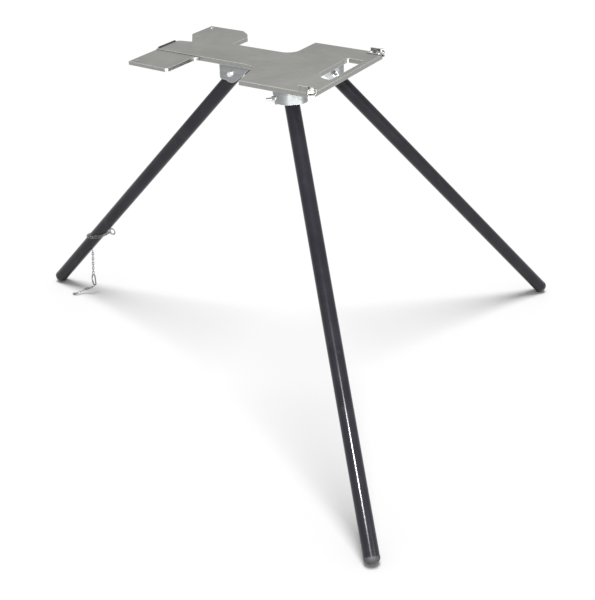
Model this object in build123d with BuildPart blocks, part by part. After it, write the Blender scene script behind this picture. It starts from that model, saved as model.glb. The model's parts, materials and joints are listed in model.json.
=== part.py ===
from build123d import *
import math
import os

# Tripod hunting stand: a flat aluminium deck on three folding tube legs.
# Millimetres, +Z up. Origin: top face of the deck, on its centreline, over the wide end.
# +X runs along the deck to its wide end, +Y to the back.

# ---- driving dimensions -------------------------------------------------
TUBE_D = 32.0  # leg tube, outside diameter
TUBE_WALL = 2.0
LEG_TILT = 42.6  # legs from the vertical when fully splayed
LEG_REACH = 940.0  # pivot to the end of the foot, along the leg
DECK_T = 10.0
DECK_RIGHT = 80.0  # wide end
DECK_LEFT = -95.0  # where the wide part steps in to the neck
DECK_HALF = 156.0  # half of the wide part's width
NECK_HALF = 56.6
HEAD_LEFT = -382.0  # far end of the T-shaped head
HEAD_RIGHT = -253.5
HEAD_BACK = 157.5
LEAF_RIGHT = -274.5
LEAF_DROP = 2.0  # the front leaf sits this much below the deck
PIVOT_DROP = 37.0  # leg pivot below the deck's top face
BOLT_R = 3.0  # M6 pivot bolts
RUN = 0.05  # radial clearance of everything that turns
# name, pivot x, pivot y, azimuth of the leg in degrees
LEGS = [
    ("front", -3.0, -101.5, -45.7),
    ("rear", -30.0, 101.0, 53.2),
    ("left", -200.0, 0.0, 180.0),
]
# per leg: outward reach of the bracket's curved wall, radius of its ears below the bolt
BRACKETS = {"front": (31.0, 12.0), "rear": (31.0, 18.0), "left": (39.5, 19.5)}

# ---- deck details -------------------------------------------------------
NOTCH_R = 28.0
CORNER_CUT = 10.0
CORNER_R = 3.0
HOLE_R = 4.0
EDGE = 0.8  # broken edges
SLOT_X = (25.5, 67.0)  # carry slot, leaving a narrow grip bar along the deck's end
SLOT_Y = (-62.0, 87.0)
SLOT_R = 7.0
SLOT_WIDE_R = 38.0  # its front left corner
SLOT_NEAR_R = 3.0
FRONT_LEFT = -94.0  # the wide part's front left corner
FRONT_NOTCH = -118.5  # where its slanted edge would meet the neck
HEAD_HOLE = (-353.0, 60.0)
LEAF_HOLE = (-365.0, -144.0)
STUD = (-369.5, 141.5)
STUD_R = 4.5
STUD_H = 2.0
STUD_SHANK_R = 2.5
STUD_DEPTH = 5.0
STRIP_AT = (HEAD_LEFT + 2.5, -20.0)
STRIP_SIZE = (4.0, 62.0)
STRIP_H = 2.4
SEAT_T = 0.5  # depth of the seats that the raised fittings are let into
SEAT_GAP = 0.1
STRAP_T = 4.0
STRAP_SIZE = (72.0, 44.0)
STRAP_X = -338.0
LEAF_SCREWS = [(STRAP_X + x, -NECK_HALF + y) for x in (-24.0, 24.0) for y in (-14.0, 14.0)]
LEAF_GAP = 0.4  # joint between the leaf and the neck
LEAF_FACET = 5.0  # the leaf's front right corner
FLARE_R = 18.0  # rounded inner corner between the leaf and the neck
FLARE_TIP = 2.0
SCREW_R = 3.0
SCREW_DEPTH = 6.0

# ---- pivot brackets -----------------------------------------------------
EAR_OUT = 33.0  # half width over the ears
BRACKET_T = 4.0
EAR_SLOPE = 41.3  # the ears' lower edge rises inwards at this angle
TAIL_LIP = 1.8  # height left at the inner end of an ear
WALL_GAP = 0.06  # between a splayed leg and the lower edge of the curved wall
NOSE_R = 23.0
WASHER_T = 1.4
WASHER_R = 6.2
HEX_R = 5.8
HEAD_T = 4.0
NUT_T = 6.0
BOLT_TIP = 52.0
SPACER_R = 8.0
SLEEVE_R = 5.0
SLEEVE_HALF = 16.8
PLUG_TOP = 21.5  # top of the leg above the pivot, on its upper side
PLUG_TOP_LOW = 26.0  # and on its lower side
TUBE_TOP = 17.5
FOOT_T = 12.0
FOOT_R = 16.2
FOOT_ROUND = 9.0
STEM = 20.0

# ---- corner keepers and lashing rings -----------------------------------
KEEPER_H = {-1: 12.0, 1: 9.0}  # front one higher than the rear one
KEEPER_T = 3.0
FOOT_PLATE_T = 2.5
KEEPER_LEFT = 47.0
KEEPER_DEPTH = 21.0
LUG_HALF = 3.0
KEEPER_RIGHT = DECK_RIGHT - CORNER_CUT
RING_WIRE_R = 1.8
RING_HALF = 8.5
RING_OUT = 2.8  # ring plane outside the corner face
RING_TOP = 7.5
RING_BOTTOM = -4.5
LUG_REACH = RING_OUT + 3.2
LUG_TOP = RING_TOP + 3.2
RING_BEND = 3.6
BUMPER = (62.5, 142.5)
BUMPER_R = 3.0
BUMPER_H = 4.5
KEEPER_SCREWS = [(52.5, 144.0), (74.5, 139.2)]

# ---- lashing chain on the left leg --------------------------------------
CHAIN_R = 1.3
WRAP_AT = 700.0  # along the leg from its pivot
WRAP_CLEAR = 0.3
WRAP_INCLINE = 60.0
HANG_AT = 760.0
END_RING_R = 8.0
END_RING_AT = 652.0  # along the leg
END_RING_OFF = TUBE_D / 2 + END_RING_R + CHAIN_R + 0.5  # below the leg's axis
STRAND_RUN = Vector(1.5, -10, -67)  # from the leg down to the hook
TAIL_RUN = (-46.0, -37.0)  # along the ground from the hook
BALL_Z = -732.8
HOOK_L = 34.0
HOOK_W = 12.0
HOOK_T = 2.5
HOOK_RIM = 2.6
GATE_L = 18.0
GATE_T = 1.4
GATE_W = 2.6
PIN_R = 0.8
BALL_R = 3.0

TUBE_R = TUBE_D / 2
BORE_R = TUBE_R - TUBE_WALL
SIN_T = math.sin(math.radians(LEG_TILT))
COS_T = math.cos(math.radians(LEG_TILT))
EAR_IN = EAR_OUT - BRACKET_T
UNDER = PIVOT_DROP - DECK_T  # deck underside above the pivot

os.makedirs("parts", exist_ok=True)


def save(part, label):
    part.label = label
    export_step(part, "parts/" + label + ".step")


def outward(azimuth):
    a = math.radians(azimuth)
    return Vector(math.cos(a), math.sin(a), 0)


def pivot_point(x, y):
    return Vector(x, y, -PIVOT_DROP)


def leg_axis(azimuth):
    return outward(azimuth) * SIN_T - Vector(0, 0, COS_T)


def leg_plane(x, y, azimuth, along):
    """Plane across a leg, `along` mm down from its pivot, z pointing to the foot."""
    axis = leg_axis(azimuth)
    across = Vector(0, 0, 1).cross(outward(azimuth))
    return Plane(origin=pivot_point(x, y) + axis * along, x_dir=across, z_dir=axis)


def pivot_plane(x, y, azimuth, offset=0.0):
    """Plane across a pivot bolt: x outwards, y up, z from the bolt's head to its nut."""
    to_nut = outward(azimuth).cross(Vector(0, 0, 1))
    return Plane(origin=pivot_point(x, y) + to_nut * offset, x_dir=outward(azimuth), z_dir=to_nut)


def bar(start, end, radius):
    """A round bar between two points."""
    run = end - start
    with BuildPart() as rod:
        with BuildSketch(Plane(origin=start, z_dir=run)):
            Circle(radius)
        extrude(amount=run.length)
    return rod.part


# ---- deck ---------------------------------------------------------------
DECK_OUTLINE = [
    (DECK_RIGHT, -DECK_HALF + CORNER_CUT),
    (DECK_RIGHT, DECK_HALF - CORNER_CUT),
    (DECK_RIGHT - CORNER_CUT, DECK_HALF),
    (DECK_LEFT, DECK_HALF),
    (DECK_LEFT, NECK_HALF),
    (HEAD_RIGHT, NECK_HALF),
    (HEAD_RIGHT, 119.0),
    (-268.0, 140.0),
    (-290.0, HEAD_BACK),
    (HEAD_LEFT, HEAD_BACK),
    (HEAD_LEFT, 79.5),
    (-345.0, 28.0),
    (-374.0, 22.0),
    (HEAD_LEFT, 12.0),
    (HEAD_LEFT, -NECK_HALF),
    (FRONT_NOTCH, -NECK_HALF),
    (FRONT_LEFT, -DECK_HALF),
    (DECK_RIGHT - CORNER_CUT, -DECK_HALF),
]

with BuildPart() as deck_plate:
    with BuildSketch(Plane.XY.offset(-DECK_T)) as deck_sketch:
        with BuildLine():
            Polyline(DECK_OUTLINE, close=True)
        make_face()
        wide_part = vertices().filter_by_position(Axis.X, FRONT_NOTCH - 1, FRONT_LEFT + 1)
        fillet([v for v in wide_part if abs(v.Y) < NECK_HALF + 1], NOTCH_R)
        outer = [v for v in wide_part if abs(v.Y) > DECK_HALF - 1]
        fillet(outer, CORNER_R)
        inner = [v for v in vertices() if abs(v.X - HEAD_RIGHT) < 1 and v.Y < NECK_HALF + 1]
        fillet(inner, CORNER_R)
        with BuildLine():
            wide_centre = (SLOT_X[0] + SLOT_WIDE_R, SLOT_Y[0] + SLOT_WIDE_R)
            wide = CenterArc(wide_centre, SLOT_WIDE_R, 180, 90)
            Polyline(
                wide @ 1,
                (SLOT_X[1], SLOT_Y[0]),
                (SLOT_X[1], SLOT_Y[1]),
                (SLOT_X[0], SLOT_Y[1]),
                wide @ 0,
            )
        make_face(mode=Mode.SUBTRACT)
        slot_ends = vertices().filter_by_position(Axis.Y, SLOT_Y[0] - 1, SLOT_Y[1] + 1)
        slot_ends = slot_ends.filter_by_position(Axis.X, SLOT_X[0] - 1, SLOT_X[1] + 1)
        fillet([v for v in slot_ends if v.Y > SLOT_Y[1] - 1], SLOT_R)
        fillet(slot_ends.sort_by(Axis.Y)[:2].sort_by(Axis.X)[-1], SLOT_NEAR_R)
        with Locations(HEAD_HOLE):
            Circle(HOLE_R, mode=Mode.SUBTRACT)
    extrude(amount=DECK_T)
    chamfer(faces().sort_by(Axis.Z)[-1].edges(), EDGE)
    with BuildSketch():
        with Locations(STUD):
            Circle(STUD_R + SEAT_GAP)
        with Locations((STRIP_AT[0] - STRIP_SIZE[0], STRIP_AT[1])):
            Rectangle(3 * STRIP_SIZE[0] + 2 * SEAT_GAP, STRIP_SIZE[1] + 2 * SEAT_GAP)
        keeper_reach = (DECK_RIGHT - KEEPER_LEFT + SEAT_GAP, KEEPER_DEPTH + SEAT_GAP)
        for side in (-1, 1):
            corner = (DECK_RIGHT - keeper_reach[0] / 2, side * (DECK_HALF - keeper_reach[1] / 2))
            with Locations(corner):
                Rectangle(*keeper_reach)
    extrude(amount=-SEAT_T, mode=Mode.SUBTRACT)
    with Locations((STUD[0], STUD[1], 0)):
        Hole(STUD_SHANK_R, depth=STUD_DEPTH)
    with BuildSketch(Plane.XY.offset(-DECK_T)):
        with Locations([p for p in LEAF_SCREWS if p[1] > -NECK_HALF]):
            Circle(SCREW_R)
    extrude(amount=SCREW_DEPTH, mode=Mode.SUBTRACT)
    with Locations([(x, s * y, 0) for x, y in KEEPER_SCREWS for s in (1, -1)]):
        Hole(2.0, depth=7)
save(deck_plate.part, "deck_plate")

leaf_inner = -NECK_HALF - LEAF_GAP
flare_centre = (LEAF_RIGHT + FLARE_R, leaf_inner - FLARE_R)
flare_turn = math.degrees(math.acos(1 - FLARE_TIP / FLARE_R))
with BuildPart() as front_leaf:
    with BuildSketch(Plane.XY.offset(-DECK_T)):
        with BuildLine():
            flare = CenterArc(flare_centre, FLARE_R, 90 + flare_turn, 90 - flare_turn)
            Polyline(
                flare @ 1,
                (LEAF_RIGHT, -HEAD_BACK - 2 + LEAF_FACET),
                (LEAF_RIGHT - LEAF_FACET, -HEAD_BACK - 2),
                (HEAD_LEFT + 1.5, -HEAD_BACK + 2),
                (HEAD_LEFT, leaf_inner),
                ((flare @ 0).X, leaf_inner),
                flare @ 0,
            )
        make_face()
        with Locations(LEAF_HOLE):
            Circle(HOLE_R, mode=Mode.SUBTRACT)
    extrude(amount=DECK_T - LEAF_DROP)
    chamfer(faces().sort_by(Axis.Z)[-1].edges(), EDGE)
    with BuildSketch(Plane.XY.offset(-DECK_T)):
        with Locations([p for p in LEAF_SCREWS if p[1] < -NECK_HALF]):
            Circle(SCREW_R)
    extrude(amount=SCREW_DEPTH, mode=Mode.SUBTRACT)
save(front_leaf.part, "front_leaf")

with BuildPart() as leaf_strap:
    with BuildSketch(Plane.XY.offset(-DECK_T - STRAP_T)):
        with Locations((STRAP_X, -NECK_HALF)):
            RectangleRounded(STRAP_SIZE[0], STRAP_SIZE[1], 6)
        with Locations(LEAF_SCREWS):
            Circle(SCREW_R, mode=Mode.SUBTRACT)
    extrude(amount=STRAP_T)
save(leaf_strap.part, "leaf_strap")

with BuildPart() as leaf_screws:
    with BuildSketch(Plane.XY.offset(-DECK_T - STRAP_T)):
        with Locations(LEAF_SCREWS):
            Circle(SCREW_R)
    extrude(amount=STRAP_T + SCREW_DEPTH - 0.5)
    with BuildSketch(Plane.XY.offset(-DECK_T - STRAP_T)):
        with Locations(LEAF_SCREWS):
            Circle(5.2)
            RegularPolygon(2.2, 6, mode=Mode.SUBTRACT)
    extrude(amount=-3.0)
save(leaf_screws.part, "leaf_screws")

with BuildPart() as locating_stud:
    with BuildSketch(Plane.XY):
        with Locations(STUD):
            Circle(STUD_SHANK_R)
    extrude(amount=-STUD_DEPTH)
    with BuildSketch(Plane.XY.offset(-SEAT_T)):
        with Locations(STUD):
            Circle(STUD_R)
    extrude(amount=SEAT_T + STUD_H)
    fillet(edges().filter_by(GeomType.CIRCLE).sort_by(Axis.Z)[-1], 1.2)
save(locating_stud.part, "locating_stud")

with BuildPart() as head_stop_strip:
    with Locations((*STRIP_AT, (STRIP_H - SEAT_T) / 2)):
        Box(*STRIP_SIZE, STRIP_H + SEAT_T)
    fillet(edges().filter_by(Axis.Z), 1.5)
save(head_stop_strip.part, "head_stop_strip")

# ---- pivot brackets and their fasteners ---------------------------------
slope = math.radians(EAR_SLOPE)


def bracket(x, y, azimuth, nose, ear_r):
    """Bent channel, open inwards, with round-bottomed ears either side of the leg."""
    # the splayed leg rests on the lower edge of the curved wall
    wall_bottom = (TUBE_R - (nose - BRACKET_T) * COS_T) / SIN_T + WALL_GAP
    tangent = (-ear_r * math.sin(slope), -ear_r * math.cos(slope))
    tail_z = UNDER - TAIL_LIP
    tail = (tail_z - tangent[1]) / math.tan(slope) - tangent[0]
    shoulder = math.sqrt(max(ear_r**2 - wall_bottom**2, 0))
    bottom = Plane(origin=pivot_point(x, y) - Vector(0, 0, ear_r), x_dir=outward(azimuth))
    with BuildPart() as channel:
        with BuildSketch(bottom):
            with Locations(((nose - tail) / 2, 0)):
                Rectangle(nose + tail, 2 * EAR_OUT)
            fillet(vertices().group_by(Axis.X)[-1], NOSE_R)
        extrude(amount=UNDER + ear_r)
        with BuildSketch(bottom):
            with Locations(((nose - tail) / 2 - BRACKET_T, 0)):
                Rectangle(nose + tail, 2 * EAR_IN)
            fillet(vertices().group_by(Axis.X)[-1], NOSE_R - BRACKET_T)
        extrude(amount=UNDER + ear_r, mode=Mode.SUBTRACT)
        with BuildSketch(pivot_plane(x, y, azimuth, -EAR_OUT - 1)):
            with BuildLine():
                Polyline(
                    (-tail, UNDER),
                    (nose, UNDER),
                    (nose, wall_bottom),
                    (shoulder, wall_bottom),
                )
                ThreePointArc((shoulder, wall_bottom), (0, -ear_r), tangent)
                Polyline(tangent, (-tail, tail_z), (-tail, UNDER))
            make_face()
            Circle(BOLT_R + 2 * RUN, mode=Mode.SUBTRACT)
        extrude(amount=2 * EAR_OUT + 2, mode=Mode.INTERSECT)
    return channel.part


for leg_name, px, py, az in LEGS:
    save(bracket(px, py, az, *BRACKETS[leg_name]), leg_name + "_bracket")

with BuildPart() as pivot_bolts:
    for leg_name, px, py, az in LEGS:
        with BuildSketch(pivot_plane(px, py, az, -EAR_OUT - WASHER_T)):
            Circle(BOLT_R)
        extrude(amount=EAR_OUT + WASHER_T + BOLT_TIP)
        with BuildSketch(pivot_plane(px, py, az, -EAR_OUT - WASHER_T)):
            RegularPolygon(HEX_R, 6)
        extrude(amount=-HEAD_T)
save(pivot_bolts.part, "pivot_bolts")

with BuildPart() as pivot_nuts:
    for leg_name, px, py, az in LEGS:
        with BuildSketch(pivot_plane(px, py, az, EAR_OUT + WASHER_T)):
            RegularPolygon(HEX_R, 6)
            Circle(BOLT_R + RUN / 2, mode=Mode.SUBTRACT)
        extrude(amount=NUT_T)
save(pivot_nuts.part, "pivot_nuts")

with BuildPart() as pivot_washers:
    for leg_name, px, py, az in LEGS:
        for start in (-EAR_OUT - WASHER_T, EAR_OUT):
            with BuildSketch(pivot_plane(px, py, az, start)):
                Circle(WASHER_R)
                Circle(BOLT_R + RUN, mode=Mode.SUBTRACT)
            extrude(amount=WASHER_T)
save(pivot_washers.part, "pivot_washers")

with BuildPart() as pivot_spacers:
    for leg_name, px, py, az in LEGS:
        for start in (-EAR_IN, SLEEVE_HALF + RUN):
            with BuildSketch(pivot_plane(px, py, az, start)):
                Circle(SPACER_R)
                Circle(BOLT_R + RUN, mode=Mode.SUBTRACT)
            extrude(amount=EAR_IN - SLEEVE_HALF - RUN)
save(pivot_spacers.part, "pivot_spacers")


# ---- legs ---------------------------------------------------------------
def leg_tube(x, y, azimuth):
    with BuildPart() as tube:
        with BuildSketch(leg_plane(x, y, azimuth, -TUBE_TOP)):
            Circle(TUBE_R)
            Circle(BORE_R, mode=Mode.SUBTRACT)
        extrude(amount=LEG_REACH - FOOT_T + TUBE_TOP)
        with BuildSketch(pivot_plane(x, y, azimuth, -TUBE_D)):
            Circle(SLEEVE_R)
        extrude(amount=2 * TUBE_D, mode=Mode.SUBTRACT)
    return tube.part


def leg_sleeve(x, y, azimuth):
    with BuildPart() as sleeve:
        with BuildSketch(pivot_plane(x, y, azimuth, -SLEEVE_HALF)):
            Circle(SLEEVE_R)
            Circle(BOLT_R + RUN, mode=Mode.SUBTRACT)
        extrude(amount=2 * SLEEVE_HALF)
    return sleeve.part


def leg_plug(x, y, azimuth):
    """Top plug, cut on the slant so that the leg clears the deck as it folds."""
    upper = outward(azimuth) * COS_T + Vector(0, 0, SIN_T)
    slant = (PLUG_TOP_LOW - PLUG_TOP) / TUBE_D
    mid = pivot_point(x, y) - leg_axis(azimuth) * (PLUG_TOP_LOW + PLUG_TOP) / 2
    with BuildPart() as plug:
        with BuildSketch(leg_plane(x, y, azimuth, -TUBE_TOP)):
            Circle(TUBE_R)
        extrude(amount=TUBE_TOP - PLUG_TOP_LOW)
        split(bisect_by=Plane(origin=mid, z_dir=upper * slant - leg_axis(azimuth)), keep=Keep.BOTTOM)
        with BuildSketch(leg_plane(x, y, azimuth, -TUBE_TOP)):
            Circle(BORE_R - RUN)
        extrude(amount=STEM / 2)
    return plug.part


def leg_foot(x, y, azimuth):
    with BuildPart() as foot:
        with BuildSketch(leg_plane(x, y, azimuth, LEG_REACH - FOOT_T)):
            Circle(FOOT_R)
        extrude(amount=FOOT_T)
        fillet(edges().filter_by(GeomType.CIRCLE).sort_by(Axis.Z)[0], FOOT_ROUND)
        with BuildSketch(leg_plane(x, y, azimuth, LEG_REACH - FOOT_T)):
            Circle(BORE_R - RUN)
        extrude(amount=-STEM)
    return foot.part


for leg_name, px, py, az in LEGS:
    save(leg_tube(px, py, az), leg_name + "_leg_tube")
    save(leg_sleeve(px, py, az), leg_name + "_leg_sleeve")
    save(leg_plug(px, py, az), leg_name + "_leg_top_plug")
    save(leg_foot(px, py, az), leg_name + "_leg_foot")


# ---- corner keepers -----------------------------------------------------
def corner_point(side):
    return Vector(DECK_RIGHT - CORNER_CUT / 2, side * (DECK_HALF - CORNER_CUT / 2), 0)


def corner_out(side):
    return Vector(1, side, 0).normalized()


def corner_along(side):
    return Vector(0, 0, 1).cross(corner_out(side))


def keeper(side):
    """Foot plate, upright stop along the edge and the lug that carries the lashing ring."""
    edge = side * DECK_HALF
    inner = side * (DECK_HALF - KEEPER_DEPTH)
    lug_plane = Plane(
        origin=corner_point(side) + corner_along(side) * LUG_HALF,
        x_dir=corner_out(side),
        z_dir=-corner_along(side),
    )
    with BuildPart() as body:
        with BuildSketch(Plane.XY.offset(-SEAT_T)):
            with BuildLine():
                Polyline(
                    (KEEPER_LEFT, edge),
                    (KEEPER_RIGHT, edge),
                    (DECK_RIGHT, side * (DECK_HALF - CORNER_CUT)),
                    (DECK_RIGHT, inner),
                    (KEEPER_LEFT, inner),
                    close=True,
                )
            make_face()
            with Locations([(x, side * y) for x, y in KEEPER_SCREWS]):
                Circle(2.0, mode=Mode.SUBTRACT)
        extrude(amount=SEAT_T + FOOT_PLATE_T)
        with BuildSketch():
            with Locations(((KEEPER_LEFT + KEEPER_RIGHT) / 2, side * (DECK_HALF - KEEPER_T / 2))):
                Rectangle(KEEPER_RIGHT - KEEPER_LEFT, KEEPER_T)
        extrude(amount=KEEPER_H[side])
        with BuildSketch(lug_plane):
            with BuildLine():
                Polyline(
                    (-3, 0),
                    (0, 0),
                    (0, 4.2),
                    (LUG_REACH, 4.2),
                    (LUG_REACH, LUG_TOP),
                    (-3, LUG_TOP),
                    close=True,
                )
            make_face()
            fillet(vertices().group_by(Axis.X)[-1], 2.5)
        extrude(amount=2 * LUG_HALF)
        with BuildSketch(lug_plane):
            with Locations((RING_OUT, RING_TOP)):
                Circle(RING_WIRE_R + RUN)
        extrude(amount=2 * LUG_HALF, mode=Mode.SUBTRACT)
    return body.part


def lashing_ring(side):
    """Round-cornered wire loop hanging from the lug outside the deck's cut corner."""
    ring_plane = Plane(
        origin=corner_point(side) + corner_out(side) * RING_OUT,
        x_dir=corner_along(side),
        z_dir=corner_out(side),
    )
    with BuildPart() as ring:
        with BuildSketch(ring_plane, mode=Mode.PRIVATE) as outline:
            with Locations((0, (RING_TOP + RING_BOTTOM) / 2)):
                RectangleRounded(2 * RING_HALF, RING_TOP - RING_BOTTOM, RING_BEND)
        loop = outline.sketch.face().outer_wire()
        with BuildSketch(Plane(origin=loop @ 0, z_dir=loop % 0)):
            Circle(RING_WIRE_R)
        sweep(path=loop)
    return ring.part


for side_name, side in (("front", -1), ("rear", 1)):
    save(keeper(side), side_name + "_corner_keeper")
    save(lashing_ring(side), side_name + "_lashing_ring")

KEEPER_SCREW_POINTS = [(x, s * y, FOOT_PLATE_T) for x, y in KEEPER_SCREWS for s in (-1, 1)]
with BuildPart() as keeper_screws:
    with Locations([(x, y, z - 4.5) for x, y, z in KEEPER_SCREW_POINTS]):
        Cylinder(2.0, 9.0)
    with Locations([(x, y, z + 1.1) for x, y, z in KEEPER_SCREW_POINTS]):
        Cylinder(3.6, 2.2)
    fillet(edges().filter_by(GeomType.CIRCLE).group_by(Axis.Z)[-1], 1.0)
    with BuildSketch(Plane.XY.offset(FOOT_PLATE_T + 2.2)):
        with Locations([(x, y) for x, y, z in KEEPER_SCREW_POINTS]):
            RegularPolygon(1.5, 6)
    extrude(amount=-1.4, mode=Mode.SUBTRACT)
save(keeper_screws.part, "keeper_screws")

with BuildPart() as corner_bumpers:
    with Locations([(BUMPER[0], s * BUMPER[1], FOOT_PLATE_T + BUMPER_H / 2) for s in (-1, 1)]):
        Cylinder(BUMPER_R, BUMPER_H)
    fillet(edges().filter_by(GeomType.CIRCLE).group_by(Axis.Z)[-1], 1.0)
save(corner_bumpers.part, "corner_bumpers")

# ---- lashing chain ------------------------------------------------------
chain_leg, chain_x, chain_y, chain_az = LEGS[2]
chain_axis = leg_axis(chain_az)
chain_out = outward(chain_az)
leg_upper = chain_out * COS_T + Vector(0, 0, SIN_T)  # square to the leg, up and outwards
tilt = math.radians(WRAP_INCLINE)
wrap_r = TUBE_R + CHAIN_R + WRAP_CLEAR
wrap_long = wrap_r / math.cos(tilt)
wrap_centre = pivot_point(chain_x, chain_y) + chain_axis * WRAP_AT
wrap_dir = leg_upper * math.cos(tilt) + chain_axis * math.sin(tilt)
wrap_plane = Plane(origin=wrap_centre, x_dir=wrap_dir, z_dir=wrap_dir.cross(Vector(0, 1, 0)))

with BuildPart() as chain_wrap:
    with BuildSketch(wrap_plane, mode=Mode.PRIVATE) as outline:
        Ellipse(wrap_long, wrap_r)
    loop = outline.sketch.face().outer_wire()
    with BuildSketch(Plane(origin=loop @ 0, z_dir=loop % 0)):
        Circle(CHAIN_R)
    sweep(path=loop)
save(chain_wrap.part, "chain_wrap")

ring_centre = pivot_point(chain_x, chain_y) + chain_axis * END_RING_AT - leg_upper * END_RING_OFF
with BuildPart() as chain_end_ring:
    with Locations(Plane(origin=ring_centre, x_dir=(1, 0, 0), z_dir=(0, -1, 0))):
        Torus(END_RING_R, CHAIN_R)
save(chain_end_ring.part, "chain_end_ring")

hang_point = pivot_point(chain_x, chain_y) + chain_axis * HANG_AT - leg_upper * (wrap_r + 1)
hook_top = hang_point + STRAND_RUN
save(bar(hang_point, hook_top, CHAIN_R), "chain_strand")

hook_centre = hook_top - Vector(0, 0, HOOK_L / 2 + CHAIN_R)
rim_x = -HOOK_W / 2 + HOOK_RIM / 2
pin_y = 2 - GATE_L / 2


def hook_plane(offset):
    return Plane(origin=hook_centre - Vector(0, offset, 0), x_dir=(1, 0, 0), z_dir=(0, -1, 0))


with BuildPart() as snap_hook:
    with BuildSketch(hook_plane(-HOOK_T / 2)):
        SlotOverall(HOOK_L, HOOK_W, rotation=90)
        SlotOverall(HOOK_L - 2 * HOOK_RIM, HOOK_W - 2 * HOOK_RIM, rotation=90, mode=Mode.SUBTRACT)
        with Locations((rim_x, 1)):
            Rectangle(HOOK_RIM + 1, 11, mode=Mode.SUBTRACT)
        with Locations((rim_x, pin_y)):
            Circle(PIN_R, mode=Mode.SUBTRACT)
    extrude(amount=HOOK_T)
save(snap_hook.part, "snap_hook")

with BuildPart() as hook_gate:
    with BuildSketch(hook_plane(HOOK_T / 2 + 0.1)):
        with Locations((rim_x, 0)):
            SlotOverall(GATE_L, GATE_W, rotation=90)
        with Locations((rim_x, pin_y)):
            Circle(PIN_R + RUN, mode=Mode.SUBTRACT)
    extrude(amount=GATE_T)
save(hook_gate.part, "hook_gate")

with BuildPart() as gate_pin:
    with BuildSketch(hook_plane(-HOOK_T / 2)):
        with Locations((rim_x, pin_y)):
            Circle(PIN_R)
    extrude(amount=HOOK_T + 0.2 + GATE_T)
    with BuildSketch(hook_plane(HOOK_T / 2 + 0.2 + GATE_T)):
        with Locations((rim_x, pin_y)):
            Circle(1.7 * PIN_R)
    extrude(amount=0.6)
save(gate_pin.part, "gate_pin")

tail_start = hook_centre - Vector(0, 0, HOOK_L / 2 + CHAIN_R + 0.4)
ball_centre = Vector(tail_start.X + TAIL_RUN[0], tail_start.Y + TAIL_RUN[1], BALL_Z)
tail_end = ball_centre - (ball_centre - tail_start).normalized() * (BALL_R - 0.01)
save(bar(tail_start, tail_end, CHAIN_R), "chain_tail")

with BuildPart() as chain_ball:
    with Locations(ball_centre):
        Sphere(BALL_R)
save(chain_ball.part, "chain_ball")
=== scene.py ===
"""Looks of the tripod hunting stand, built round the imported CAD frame. Metres, +Z up."""

import json
import math
import random

import bpy
from mathutils import Matrix, Quaternion, Vector


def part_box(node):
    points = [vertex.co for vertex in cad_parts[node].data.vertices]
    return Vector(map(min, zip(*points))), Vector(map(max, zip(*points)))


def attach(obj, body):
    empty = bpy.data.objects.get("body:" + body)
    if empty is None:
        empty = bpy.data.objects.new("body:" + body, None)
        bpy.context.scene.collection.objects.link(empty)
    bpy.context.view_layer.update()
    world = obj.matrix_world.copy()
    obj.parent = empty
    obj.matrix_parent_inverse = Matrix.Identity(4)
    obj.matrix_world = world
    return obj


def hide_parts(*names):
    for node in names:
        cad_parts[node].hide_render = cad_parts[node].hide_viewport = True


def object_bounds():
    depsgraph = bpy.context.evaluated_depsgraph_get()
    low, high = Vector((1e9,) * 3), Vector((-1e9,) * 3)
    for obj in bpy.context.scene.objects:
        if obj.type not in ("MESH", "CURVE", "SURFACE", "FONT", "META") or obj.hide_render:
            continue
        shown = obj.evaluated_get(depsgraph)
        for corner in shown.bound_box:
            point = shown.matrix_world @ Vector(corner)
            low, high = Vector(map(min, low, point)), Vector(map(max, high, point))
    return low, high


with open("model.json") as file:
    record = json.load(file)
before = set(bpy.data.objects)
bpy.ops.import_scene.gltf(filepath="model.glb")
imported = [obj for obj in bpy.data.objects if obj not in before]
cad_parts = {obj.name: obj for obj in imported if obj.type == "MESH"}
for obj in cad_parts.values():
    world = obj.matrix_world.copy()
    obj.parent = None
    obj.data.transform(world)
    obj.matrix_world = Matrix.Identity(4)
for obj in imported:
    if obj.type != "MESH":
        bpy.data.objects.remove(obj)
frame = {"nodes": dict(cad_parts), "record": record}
cad_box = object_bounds()
nodes = frame["nodes"]
draw = random.Random(7)
UP = Vector((0, 0, 1))

# ---------------------------------------------------------------- materials
# sockets of the colour mix node, which has a set for each kind of value
MIX_SHARE, MIX_FIRST, MIX_SECOND, MIX_RESULT = 0, 6, 7, 2

SAWN_SIDE = (0.32, 0.32, 0.307)
# painted highlight for the plate's sharp edges, standing in for the light they catch
PLATE_HIGHLIGHT_COLOUR = (0.62, 0.62, 0.60)
# painted highlight for the brackets' sharp edges, standing in for the light their rounded rims catch
BRACKET_HIGHLIGHT_COLOUR = (0.72, 0.73, 0.73)
RUBBED_BLACK = (0.06, 0.06, 0.063)
STAIN_CAST = (0.86, 0.847, 0.80)
PLATE_METALLIC = 0.55
BENT_METALLIC = 0.95
# widths of the painted edge highlights on the plate and on the brackets
PLATE_HIGHLIGHT_R = 0.0015
BRACKET_HIGHLIGHT_R = 0.0013


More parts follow.
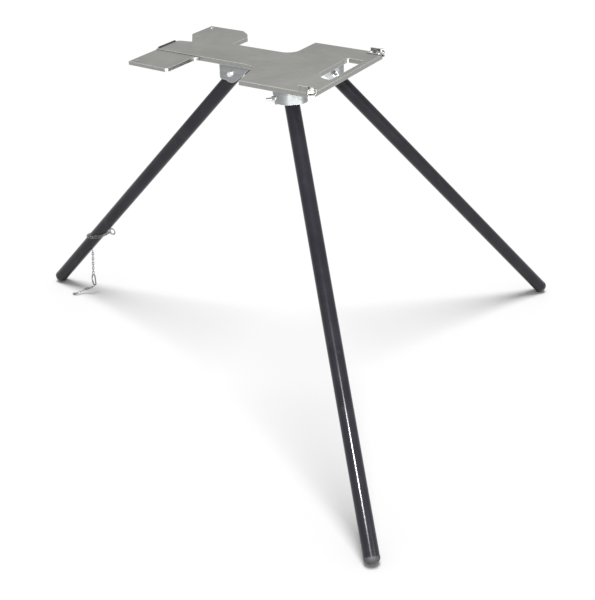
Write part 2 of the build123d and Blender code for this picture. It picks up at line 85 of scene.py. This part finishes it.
class Mat:
    """A small helper that wires node materials."""

    def __init__(self, name):
        self.m = bpy.data.materials.new(name)
        self.m.use_nodes = True
        self.t = self.m.node_tree
        self.bsdf = self.t.nodes["Principled BSDF"]
        self.coord = self.t.nodes.new("ShaderNodeTexCoord")

    def link(self, a, b):
        self.t.links.new(a, b)

    def feed(self, socket, value):
        """Link a socket, or set a colour or a plain number."""
        if isinstance(value, bpy.types.NodeSocket):
            self.link(value, socket)
        elif isinstance(value, tuple):
            socket.default_value = (*value, 1)
        else:
            socket.default_value = value

    def new(self, kind, **inputs):
        n = self.t.nodes.new(kind)
        for key, value in inputs.items():
            n.inputs[key.replace("_", " ")].default_value = value
        return n

    def set(self, **values):
        for key, value in values.items():
            self.bsdf.inputs[key.replace("_", " ")].default_value = value

    def mapping(self, scale, rotation=(0, 0, 0)):
        n = self.new("ShaderNodeMapping", Scale=scale, Rotation=rotation)
        self.link(self.coord.outputs["Object"], n.inputs["Vector"])
        return n.outputs["Vector"]

    def noise(self, scale, detail, rough, vector=None, distortion=0.0):
        """Cloudy pattern, its scale in features per metre."""
        n = self.new("ShaderNodeTexNoise", Scale=scale, Detail=detail, Roughness=rough)
        n.inputs["Distortion"].default_value = distortion
        self.link(self.coord.outputs["Object"] if vector is None else vector, n.inputs["Vector"])
        return n.outputs["Fac"]

    def ramp(self, value, stops):
        """Turn a value into greys or colours, given as (position, colour) stops."""
        n = self.t.nodes.new("ShaderNodeValToRGB")
        elements = n.color_ramp.elements
        while len(elements) < len(stops):
            elements.new(0.5)
        for element, (position, colour) in zip(elements, stops):
            element.position = position
            rgb = colour if isinstance(colour, tuple) else (colour,) * 3
            element.color = (*rgb, 1)
        self.link(value, n.inputs["Fac"])
        return n.outputs["Color"]

    def mix(self, share, first, second):
        n = self.t.nodes.new("ShaderNodeMix")
        n.data_type = "RGBA"
        self.feed(n.inputs[MIX_SHARE], share)
        self.feed(n.inputs[MIX_FIRST], first)
        self.feed(n.inputs[MIX_SECOND], second)
        return n.outputs[MIX_RESULT]

    def math(self, operation, a, b=0.0):
        n = self.t.nodes.new("ShaderNodeMath")
        n.operation = operation
        self.feed(n.inputs[0], a)
        self.feed(n.inputs[1], b)
        return n.outputs[0]

    def edges(self, radius):
        """Painted highlight where the surface turns sharply, standing in for the light that rounded edges
        catch.
        """
        rounded = self.new("ShaderNodeBevel", Radius=radius)
        rounded.samples = 4
        plain = self.t.nodes.new("ShaderNodeNewGeometry")
        dot = self.t.nodes.new("ShaderNodeVectorMath")
        dot.operation = "DOT_PRODUCT"
        self.link(rounded.outputs["Normal"], dot.inputs[0])
        self.link(plain.outputs["Normal"], dot.inputs[1])
        return self.ramp(dot.outputs["Value"], [(0.80, 1.0), (0.99, 0.0)])

    def upright(self):
        """1 on upright faces, 0 on level ones."""
        geometry = self.t.nodes.new("ShaderNodeNewGeometry")
        split = self.t.nodes.new("ShaderNodeSeparateXYZ")
        self.link(geometry.outputs["True Normal"], split.inputs[0])
        return self.math("LESS_THAN", self.math("ABSOLUTE", split.outputs["Z"]), 0.5)

    def bump(self, height, strength, distance):
        n = self.new("ShaderNodeBump", Strength=strength, Distance=distance)
        self.link(height, n.inputs["Height"])
        self.link(n.outputs["Normal"], self.bsdf.inputs["Normal"])

    def colour(self, socket):
        self.link(socket, self.bsdf.inputs["Base Color"])

    def rough(self, socket):
        self.link(socket, self.bsdf.inputs["Roughness"])


def shade(colour, factor):
    return tuple(min(1.0, c * factor) for c in colour)


def sheet_aluminium(name, tint):
    """Rolled plate: brushed, cloudy, scratched top and bottom, brighter saw-cut sides, and a painted
    highlight along sharp edges.
    """
    m = Mat(name)
    lines = m.noise(1.0, 6, 0.75, m.mapping((6.0, 260.0, 60.0)))
    cloud = m.noise(7.0, 6, 0.68, distortion=0.6)
    stain = m.noise(26.0, 4, 0.6, distortion=1.2)
    speck = m.noise(420.0, 2, 0.5)
    scratch = m.noise(1.0, 3, 0.5, m.mapping((9.0, 300.0, 60.0), (0, 0, 0.6)), 0.3)
    stained = tuple(c * cast for c, cast in zip(tint, STAIN_CAST))
    top = m.ramp(cloud, [(0.3, shade(tint, 0.90)), (0.7, shade(tint, 1.20))])
    top = m.mix(m.ramp(stain, [(0.52, 0.0), (0.78, 0.35)]), top, stained)
    top = m.mix(m.ramp(lines, [(0.35, 0.0), (0.75, 0.30)]), top, shade(tint, 0.76))
    top = m.mix(m.ramp(scratch, [(0.70, 0.0), (0.76, 0.35)]), top, shade(tint, 1.4))
    top = m.mix(m.ramp(speck, [(0.60, 0.0), (0.80, 0.22)]), top, shade(tint, 0.7))
    saw = m.noise(1.0, 4, 0.6, m.mapping((700.0, 700.0, 40.0)))
    side = m.ramp(saw, [(0.3, shade(SAWN_SIDE, 0.82)), (0.7, shade(SAWN_SIDE, 1.1))])
    upright = m.upright()
    # sharp edges get a painted highlight, standing in for the light they catch
    m.colour(m.mix(m.edges(PLATE_HIGHLIGHT_R), m.mix(upright, top, side), PLATE_HIGHLIGHT_COLOUR))
    top_rough = m.ramp(lines, [(0.2, 0.42), (0.8, 0.60)])
    side_rough = m.ramp(saw, [(0.2, 0.25), (0.8, 0.38)])
    m.rough(m.mix(upright, top_rough, side_rough))
    more_metallic = m.math("MULTIPLY", upright, 1.0 - PLATE_METALLIC)
    m.link(m.math("ADD", more_metallic, PLATE_METALLIC), m.bsdf.inputs["Metallic"])
    m.bump(lines, 0.12, 0.0004)
    return m.m


def bent_plate(name, tint):
    """Bent aluminium with a soft sheen, faint drawing lines and a painted highlight along sharp edges."""
    m = Mat(name)
    drawn = m.noise(1.0, 4, 0.6, m.mapping((12.0, 12.0, 420.0)))
    smear = m.noise(50.0, 5, 0.65)
    base = m.ramp(drawn, [(0.3, shade(tint, 0.86)), (0.7, shade(tint, 1.12))])
    base = m.mix(m.ramp(smear, [(0.5, 0.0), (0.85, 0.4)]), base, shade(tint, 0.7))
    # sharp edges get a painted highlight, standing in for the light caught by the rounded rim
    m.colour(m.mix(m.edges(BRACKET_HIGHLIGHT_R), base, BRACKET_HIGHLIGHT_COLOUR))
    m.rough(m.ramp(smear, [(0.3, 0.40), (0.8, 0.54)]))
    m.set(Metallic=BENT_METALLIC)
    m.bump(drawn, 0.06, 0.0002)
    return m.m


def polished(name, tint, rough_low, rough_high):
    """Bright plated or polished metal with handling marks."""
    m = Mat(name)
    smear = m.noise(60.0, 5, 0.65)
    fine = m.noise(900.0, 2, 0.5)
    dull = m.ramp(smear, [(0.35, 0.0), (0.75, 1.0)])
    m.colour(m.mix(dull, tint, shade(tint, 0.78)))
    m.rough(m.ramp(smear, [(0.3, rough_low), (0.8, rough_high)]))
    m.set(Metallic=1.0)
    m.bump(fine, 0.08, 0.0002)
    return m.m


def powder_coat(name, tint, rough_low, rough_high, specular):
    """Satin black coating with orange peel, dust and rubbed patches."""
    m = Mat(name)
    peel = m.noise(1500.0, 2, 0.5)
    blotch = m.noise(14.0, 5, 0.62)
    rub = m.noise(1.0, 4, 0.6, m.mapping((45.0, 45.0, 14.0)))
    base = m.ramp(blotch, [(0.3, shade(tint, 0.8)), (0.7, shade(tint, 1.35))])
    m.colour(m.mix(m.ramp(rub, [(0.62, 0.0), (0.80, 0.22)]), base, RUBBED_BLACK))
    m.set(Specular_IOR_Level=specular)
    m.rough(m.ramp(blotch, [(0.3, rough_low), (0.75, rough_high)]))
    m.bump(peel, 0.10, 0.0002)
    return m.m


def moulded(name, tint):
    """Moulded rubber or plastic, slightly dusty."""
    m = Mat(name)
    grain = m.noise(900.0, 3, 0.6)
    dust = m.noise(35.0, 5, 0.65)
    dusty = tuple(c * 2.2 + 0.01 for c in tint)
    m.colour(m.ramp(dust, [(0.35, tint), (0.8, dusty)]))
    m.rough(m.ramp(dust, [(0.2, 0.5), (0.8, 0.75)]))
    m.bump(grain, 0.25, 0.0003)
    return m.m


def floor_paper(name):
    """Matt pale paper with a faint grain."""
    m = Mat(name)
    grain = m.noise(300.0, 3, 0.6)
    m.colour(m.ramp(grain, [(0.2, 0.642), (0.8, 0.656)]))
    m.set(Roughness=0.95, Specular_IOR_Level=0.1)
    return m.m


MATERIALS = {
    "deck_aluminium": sheet_aluminium("deck_aluminium", (0.238, 0.238, 0.223)),
    "bracket_aluminium": bent_plate("bracket_aluminium", (0.28, 0.292, 0.296)),
    # a lighter copy of the deck's aluminium: the keepers are painted brighter to stand in for the light on
    # their walls
    "keeper_aluminium": sheet_aluminium("keeper_aluminium", (0.36, 0.352, 0.33)),
    "bright_steel": polished("bright_steel", (0.85, 0.85, 0.86), 0.10, 0.25),
    "plain_steel": polished("plain_steel", (0.55, 0.55, 0.55), 0.3, 0.5),
    "black_tube": powder_coat("black_tube", (0.0105, 0.010, 0.013), 0.16, 0.24, 0.22),
    "black_plastic": moulded("black_plastic", (0.008, 0.008, 0.009)),
    "black_rubber": moulded("black_rubber", (0.017, 0.015, 0.017)),
    "ring_steel": polished("ring_steel", (0.30, 0.29, 0.265), 0.14, 0.30),
    "chain_steel": polished("chain_steel", (0.26, 0.26, 0.265), 0.2, 0.4),
}


def assign(obj, material):
    obj.data.materials.clear()
    obj.data.materials.append(material)


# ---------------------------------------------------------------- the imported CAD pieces
EDGE_BEVEL = 0.0004
EDGE_SEGMENTS = 2
EDGE_ANGLE = math.radians(40)

slots = {s["node"]: s["material_slot"] for s in frame["record"]["subparts"]}
for node_name, node in nodes.items():
    assign(node, MATERIALS[slots[node_name]])
    bevel = node.modifiers.new("edge", "BEVEL")
    bevel.width = EDGE_BEVEL
    bevel.segments = EDGE_SEGMENTS
    bevel.limit_method = "ANGLE"
    bevel.angle_limit = EDGE_ANGLE

# ---------------------------------------------------------------- places from the frame
JOINTS = {j["name"]: j for j in frame["record"]["behaviour"]["joints"]}


def centre(node_name):
    low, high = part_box(node_name)
    return (Vector(low) + Vector(high)) / 2


def half_width(node_name):
    """Half the width across Y, the true one for pieces that lean along X only."""
    low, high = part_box(node_name)
    return (high[1] - low[1]) / 2


def pivot(joint_name):
    return Vector(JOINTS[joint_name]["pos_m"])


def outwards(leg):
    """Level direction in which a leg spreads."""
    axis = Vector(JOINTS[leg + "_leg_fold"]["axis"])
    return Vector((axis.y, -axis.x, 0))


# ---------------------------------------------------------------- mesh helpers


def mesh_piece(name, verts, faces, body, slot):
    mesh = bpy.data.meshes.new(name)
    mesh.from_pydata([tuple(v) for v in verts], [], faces)
    mesh.update()
    for polygon in mesh.polygons:
        polygon.use_smooth = True
    obj = bpy.data.objects.new(name, mesh)
    bpy.context.scene.collection.objects.link(obj)
    assign(obj, MATERIALS[slot])
    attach(obj, body)
    return obj


def closed_tube(loop, radius, sides=8):
    """Vertices and faces of a round wire that follows a closed loop of points."""
    count = len(loop)
    normal = Vector((0, 0, 0))
    for i in range(count):
        normal += loop[i].cross(loop[(i + 1) % count])
    normal.normalize()
    verts, faces = [], []
    for i in range(count):
        run = (loop[(i + 1) % count] - loop[i - 1]).normalized()
        side = run.cross(normal).normalized()
        for j in range(sides):
            a = 2 * math.pi * j / sides
            verts.append(loop[i] + (side * math.cos(a) + normal * math.sin(a)) * radius)
            right, below = (j + 1) % sides, (i + 1) % count
            faces.append((i * sides + j, i * sides + right, below * sides + right, below * sides + j))
    return verts, faces


# ---------------------------------------------------------------- chain
LINK_LENGTH = 0.0105
LINK_WIDTH = 0.0066
LINK_WIRE = 0.00095
LINK_PITCH = LINK_LENGTH - 4 * LINK_WIRE
LINK_END_STEPS = 6
LINK_START_DEG = 45
LINK_SWAY_DEG = 12  # uneven lie of the links
LINK_SWAY_RATE = 1.7
STEEP = 0.9  # a run this close to upright turns its links about Y instead


def link_loop():
    """Centreline of one chain link, lying along x."""
    radius = LINK_WIDTH / 2 - LINK_WIRE
    reach = LINK_LENGTH / 2 - LINK_WIRE - radius
    loop = []
    for end in (1, -1):
        for i in range(LINK_END_STEPS + 1):
            a = math.pi * (i / LINK_END_STEPS - 0.5)
            loop.append(Vector((end * (reach + radius * math.cos(a)), end * radius * math.sin(a), 0)))
    return loop


def chain(name, path, body, scale=1.0):
    """Links set along a line of points, each turned a quarter from the last."""
    lengths = [0.0]
    for p, q in zip(path, path[1:]):
        lengths.append(lengths[-1] + (q - p).length)
    count = max(2, round(lengths[-1] / (LINK_PITCH * scale)))
    link_verts, link_faces = closed_tube(link_loop(), LINK_WIRE)
    verts, faces = [], []
    for k in range(count):
        at = (k + 0.5) / count * lengths[-1]
        i = next(n for n in range(1, len(lengths)) if lengths[n] >= at)
        share = (at - lengths[i - 1]) / (lengths[i] - lengths[i - 1])
        place = path[i - 1].lerp(path[i], share)
        run = (path[i] - path[i - 1]).normalized()
        flat = run.cross(UP if abs(run.z) < STEEP else Vector((0, 1, 0))).normalized()
        lie = LINK_START_DEG + 90 * (k % 2) + LINK_SWAY_DEG * math.sin(k * LINK_SWAY_RATE)
        flat.rotate(Quaternion(run, math.radians(lie)))
        turn = Matrix((run, flat, run.cross(flat))).transposed()
        faces += [tuple(len(verts) + n for n in face) for face in link_faces]
        verts += [place + turn @ v * scale for v in link_verts]
    return mesh_piece(name, verts, faces, body, "chain_steel")


# ---------------------------------------------------------------- chain turns round the left leg
left_pivot = pivot("left_leg_fold")
left_axis = (centre("left_leg_foot") - left_pivot).normalized()
left_upper = outwards("left") * -left_axis.z + UP * left_axis.dot(outwards("left"))
WRAP_SCALE = 0.6
WRAP_GAP = 0.0003
WRAP_R = half_width("left_leg_tube") + LINK_WIDTH * WRAP_SCALE / 2 + WRAP_GAP
WRAP_STEPS = 96
FIRST_TURN = (58, 0.002)  # lean in degrees, sag
SECOND_TURN = (55, 0.004)
SECOND_TURN_LOWER = 0.007


def leaning_loop(middle, lean_deg, sag):
    """A loop round the left leg that leans out of square to it."""
    lean = math.radians(lean_deg)
    long_way = left_upper * math.cos(lean) + left_axis * math.sin(lean)
    loop = []
    for i in range(WRAP_STEPS + 1):
        a = 2 * math.pi * i / WRAP_STEPS
        across = Vector((0, 1, 0)) * math.sin(a) * WRAP_R
        droop = left_axis * sag * (1 - math.cos(2 * a)) / 2
        loop.append(middle + long_way * math.cos(a) * WRAP_R / math.cos(lean) + across + droop)
    return loop


wrap_middle = centre("chain_wrap")
first_turn = leaning_loop(wrap_middle, *FIRST_TURN)
second_turn = leaning_loop(wrap_middle + left_axis * SECOND_TURN_LOWER, *SECOND_TURN)
wrap = chain("chain_wrap_links", first_turn, "left_leg", WRAP_SCALE)
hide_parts("chain_wrap")
chain("chain_second_turn", second_turn, "left_leg", WRAP_SCALE)

# ---------------------------------------------------------------- hanging strand and tail
STRAND_OVERLAP = 0.001
TAIL_STEPS = 24
TAIL_SAG = 1.25
TAIL_SNAKE = Vector((0.0018, -0.0022, 0))

hook_low, hook_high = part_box("snap_hook")
hook_foot = centre("snap_hook")
hook_foot.z = hook_low[2]
hook_top = centre("snap_hook")
hook_top.z = hook_high[2]
ball = centre("chain_ball")


def ground_tail():
    """The tail drops from the hook and snakes a little on the ground."""
    path = []
    for i in range(TAIL_STEPS + 1):
        t = i / TAIL_STEPS
        p = hook_foot.lerp(ball, t)
        p.z = ball.z + (hook_foot.z - ball.z) * (1 - t) ** TAIL_SAG
        p += TAIL_SNAKE * math.sin(3 * math.pi * t)
        path.append(p)
    return path


strand = chain("chain_strand_links", [pivot("chain_hang"), hook_top + UP * STRAND_OVERLAP], "hanging_chain")
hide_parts("chain_strand")
tail = chain("chain_tail_links", ground_tail(), "hanging_chain")
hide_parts("chain_tail")

# ---------------------------------------------------------------- second ring and its short lead
RING_R = 0.0072
RING_WIRE = 0.0012
RING_STEPS = 48
RING_SIDES = 12
RING_ABOVE = 0.0075  # from the end ring
RING_OFF_LEG = 0.0085
LEAD_OFF_LEG = 0.003
UPPER_RING_FACING = Vector((0.35, -1, 0.1)).normalized()


def wire_ring(name, middle, normal):
    """A closed round ring of wire on the left leg."""
    side = normal.cross(UP).normalized()
    rise = side.cross(normal).normalized()
    loop = []
    for i in range(RING_STEPS):
        a = 2 * math.pi * i / RING_STEPS
        loop.append((side * math.cos(a) + rise * math.sin(a)) * RING_R)
    verts, faces = closed_tube(loop, RING_WIRE, RING_SIDES)
    return mesh_piece(name, [v + middle for v in verts], faces, "left_leg", "chain_steel")


off_leg = (-left_upper + Vector((0, -1, 0))).normalized()
upper_ring = centre("chain_end_ring") + UP * RING_ABOVE + off_leg * RING_OFF_LEG
wire_ring("chain_upper_ring", upper_ring, UPPER_RING_FACING)
wrap_end = min(first_turn, key=lambda p: (p - upper_ring).length)
lead_start = wrap_end + off_leg * LEAD_OFF_LEG
lead_end = upper_ring + (lead_start - upper_ring).normalized() * RING_R
chain("chain_ring_lead", [lead_start, lead_end], "left_leg", WRAP_SCALE)

# ---------------------------------------------------------------- bolt threads
# the first three are the sizes of the CAD's bolts and nuts
BOLT_R = 0.003
NUT_FACE = 0.0404  # outer face of the nut from the leg's centreline
BOLT_TIP = 0.0520
THREAD_PITCH = 0.001
THREAD_DEPTH = 0.00035
THREAD_ROOT = 0.0002  # sunk into the bolt
THREAD_START = 0.4  # in pitches from the nut's face
THREAD_HALF = 0.42  # half the ridge's width, in pitches
THREAD_STEPS = 20  # points in one turn


def thread(leg):
    """A helical ridge on the end of a pivot bolt that stands out of its nut."""
    middle = pivot(leg + "_leg_fold")
    flat = outwards(leg)
    run = flat.cross(UP)
    turns = int((BOLT_TIP - NUT_FACE) / THREAD_PITCH) - 1
    rows = THREAD_STEPS * turns
    half = run * THREAD_PITCH * THREAD_HALF
    root = BOLT_R - THREAD_ROOT
    verts, faces = [], []
    for i in range(rows + 1):
        a = 2 * math.pi * i / THREAD_STEPS
        out = flat * math.cos(a) + UP * math.sin(a)
        at = middle + run * (NUT_FACE + THREAD_PITCH * (i / THREAD_STEPS + THREAD_START))
        verts += [at - half + out * root, at + out * (BOLT_R + THREAD_DEPTH), at + half + out * root]
    for i in range(rows):
        for j in range(3):
            k = (j + 1) % 3
            faces.append((3 * i + j, 3 * i + k, 3 * i + 3 + k, 3 * i + 3 + j))
    faces += [(2, 1, 0), (3 * rows, 3 * rows + 1, 3 * rows + 2)]
    return mesh_piece(leg + "_bolt_thread", verts, faces, "stand_head", "bright_steel")


# ---------------------------------------------------------------- welds
EAR_OUT = half_width("left_bracket")
WELD_SPAN = (-0.046, 0.004)  # from the pivot, along the way the leg spreads
WELD_OFF = 0.0006  # centre of the bead off the deck and the ear
WELD_R = 0.0019
WELD_RIPPLE = 0.0003
WELD_RIPPLE_RATE = 0.9
WELD_TIP = 0.25  # share of the radius left at each end
WELD_TAPER = 8
WELD_UNEVEN = 0.0001
WELD_STEP = 0.0007
WELD_LEAST_STEPS = 8
WELD_SIDES = 10


def weld(name, start, end):
    """A rippled bead along a straight joint."""
    run = (end - start).normalized()
    side = run.cross(UP).normalized()
    count = max(WELD_LEAST_STEPS, int((end - start).length / WELD_STEP))
    verts, faces = [], []
    for i in range(count + 1):
        t = i / count
        taper = min(1.0, WELD_TAPER * min(t, 1 - t) + WELD_TIP)
        ripple = WELD_RIPPLE * abs(math.sin(i * WELD_RIPPLE_RATE))
        radius = (WELD_R + ripple + draw.uniform(0, WELD_UNEVEN)) * taper
        for j in range(WELD_SIDES):
            a = 2 * math.pi * j / WELD_SIDES
            verts.append(start.lerp(end, t) + (side * math.cos(a) + UP * math.sin(a)) * radius)
    for i in range(count):
        here, there = i * WELD_SIDES, (i + 1) * WELD_SIDES
        for j in range(WELD_SIDES):
            k = (j + 1) % WELD_SIDES
            faces.append((here + j, here + k, there + k, there + j))
    first_end = tuple(reversed(range(WELD_SIDES)))
    last_end = tuple(range(count * WELD_SIDES, (count + 1) * WELD_SIDES))
    # the beads take the keepers' aluminium, painted lighter than the deck's
    return mesh_piece(name, verts, faces + [first_end, last_end], "stand_head", "keeper_aluminium")


deck_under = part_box("deck_plate")[0][2]
for leg in ("front", "rear", "left"):
    thread(leg)
    base = pivot(leg + "_leg_fold")
    base.z = deck_under - WELD_OFF
    across = outwards(leg).cross(UP)
    for side_name, side in (("near", 1), ("far", -1)):
        ear = base + across * side * (EAR_OUT + WELD_OFF)
        start, end = (ear + outwards(leg) * reach for reach in WELD_SPAN)
        weld(f"{leg}_{side_name}_weld", start, end)

# ---------------------------------------------------------------- floor
FLOOR_SIZE = 60

bpy.ops.mesh.primitive_plane_add(size=FLOOR_SIZE, location=(0, 0, cad_box[0][2]))
floor = bpy.context.object
floor.name = "floor"
assign(floor, floor_paper("floor_paper"))

# ---------------------------------------------------------------- lights
SOFTBOX_TURN = math.radians(-30)
SOFTBOX_DROP = -0.22  # for each metre away
SOFTBOX_AWAY = 1.6
SOFTBOX_AIM = (0, 0, -0.1)
SOFTBOX_SIZE = (1.1, 0.6)
SOFTBOX_POWER = 15
STRIP_AT = (1.05, -1.88, 0.94)
STRIP_AIM = (0.353, -0.466, -0.59)  # low on the front leg
STRIP_SIZE = (0.12, 0.2)
STRIP_POWER = 100
STAND_LIGHT = (1.75, 40)  # strength, spread in degrees
FLOOR_LIGHT = (3.2, 26)
ROOM_LIGHT = 0.56


def add_light(name, kind, power):
    data = bpy.data.lights.new(name, kind)
    data.energy = power
    obj = bpy.data.objects.new(name, data)
    bpy.context.scene.collection.objects.link(obj)
    return obj


def area_light(name, location, target, size, power):
    """Flat rectangular lamp that faces its target."""
    obj = add_light(name, "AREA", power)
    obj.data.shape = "RECTANGLE"
    obj.data.size, obj.data.size_y = size
    obj.location = location
    obj.rotation_euler = (Vector(target) - Vector(location)).to_track_quat("-Z", "Y").to_euler()
    return obj


def ceiling_light(name, strength, spread_deg):
    """Broad light from straight above."""
    obj = add_light(name, "SUN", strength)
    obj.data.angle = math.radians(spread_deg)
    return obj


def linked(name, objects):
    collection = bpy.data.collections.new(name)
    for obj in objects:
        collection.objects.link(obj)
    return collection


def is_slender(obj):
    """True for the legs, the chain and the hook."""
    return any(word in obj.name for word in ("_leg_", "chain", "hook"))


softbox_at = Vector((math.cos(SOFTBOX_TURN), math.sin(SOFTBOX_TURN), SOFTBOX_DROP)) * SOFTBOX_AWAY
softbox = area_light("front_softbox", softbox_at, SOFTBOX_AIM, SOFTBOX_SIZE, SOFTBOX_POWER)
strip_light = area_light("strip_light", STRIP_AT, STRIP_AIM, STRIP_SIZE, STRIP_POWER)
stand_light = ceiling_light("ceiling", *STAND_LIGHT)
floor_light = ceiling_light("floor_ceiling", *FLOOR_LIGHT)

# the floor has its own light, which only the legs, the chain and the hook hold back,
# so the deck casts no shadow on it
stand_parts = [obj for obj in bpy.context.scene.objects if obj.type == "MESH" and obj != floor]
lit_stand = linked("lit_stand", stand_parts)
for light in (stand_light, softbox, strip_light):
    light.light_linking.receiver_collection = lit_stand
floor_light.light_linking.receiver_collection = linked("lit_floor", [floor])
slender = [obj for obj in stand_parts if is_slender(obj)]
floor_light.light_linking.blocker_collection = linked("floor_shadow_makers", slender)

world = bpy.data.worlds.new("studio")
bpy.context.scene.world = world
world.use_nodes = True
world_nodes, world_links = world.node_tree.nodes, world.node_tree.links
background = world_nodes["Background"]
background.inputs["Color"].default_value = (1.0, 1.0, 1.0, 1)
# the room lights the stand softly but looks plain white behind it
sight = world_nodes.new("ShaderNodeLightPath")
strength = world_nodes.new("ShaderNodeMath")
strength.operation = "MAXIMUM"
strength.inputs[1].default_value = ROOM_LIGHT
world_links.new(sight.outputs["Is Camera Ray"], strength.inputs[0])
world_links.new(strength.outputs[0], background.inputs["Strength"])

# ---------------------------------------------------------------- camera
# viewing angle worked out from the legs and the deck corners
CAM_AT = Vector((1.0910, -1.8722, 0.6685))
CAM_TURN = math.radians(31.495)
CAM_DOWN = math.radians(29.634)
CAM_ROLL = math.radians(0.791)
CAM_LENS = 63.1
CAM_SENSOR = 36.0
CAM_FAR = 100

scene = bpy.context.scene
scene.view_settings.view_transform = "Standard"
scene.view_settings.look = "None"
cam_data = bpy.data.cameras.new("camera")
cam_data.sensor_width = CAM_SENSOR
cam_data.lens = CAM_LENS
cam_data.clip_end = CAM_FAR
cam = bpy.data.objects.new("camera", cam_data)
scene.collection.objects.link(cam)
ahead = Vector((-math.sin(CAM_TURN), math.cos(CAM_TURN), 0))
look = ahead * math.cos(CAM_DOWN) - UP * math.sin(CAM_DOWN)
level_right = Vector((math.cos(CAM_TURN), math.sin(CAM_TURN), 0))
level_down = look.cross(level_right)
right = level_right * math.cos(CAM_ROLL) + level_down * math.sin(CAM_ROLL)
down = level_down * math.cos(CAM_ROLL) - level_right * math.sin(CAM_ROLL)
cam.matrix_world = Matrix((right, -down, -look)).transposed().to_4x4()
cam.location = CAM_AT
scene.camera = cam
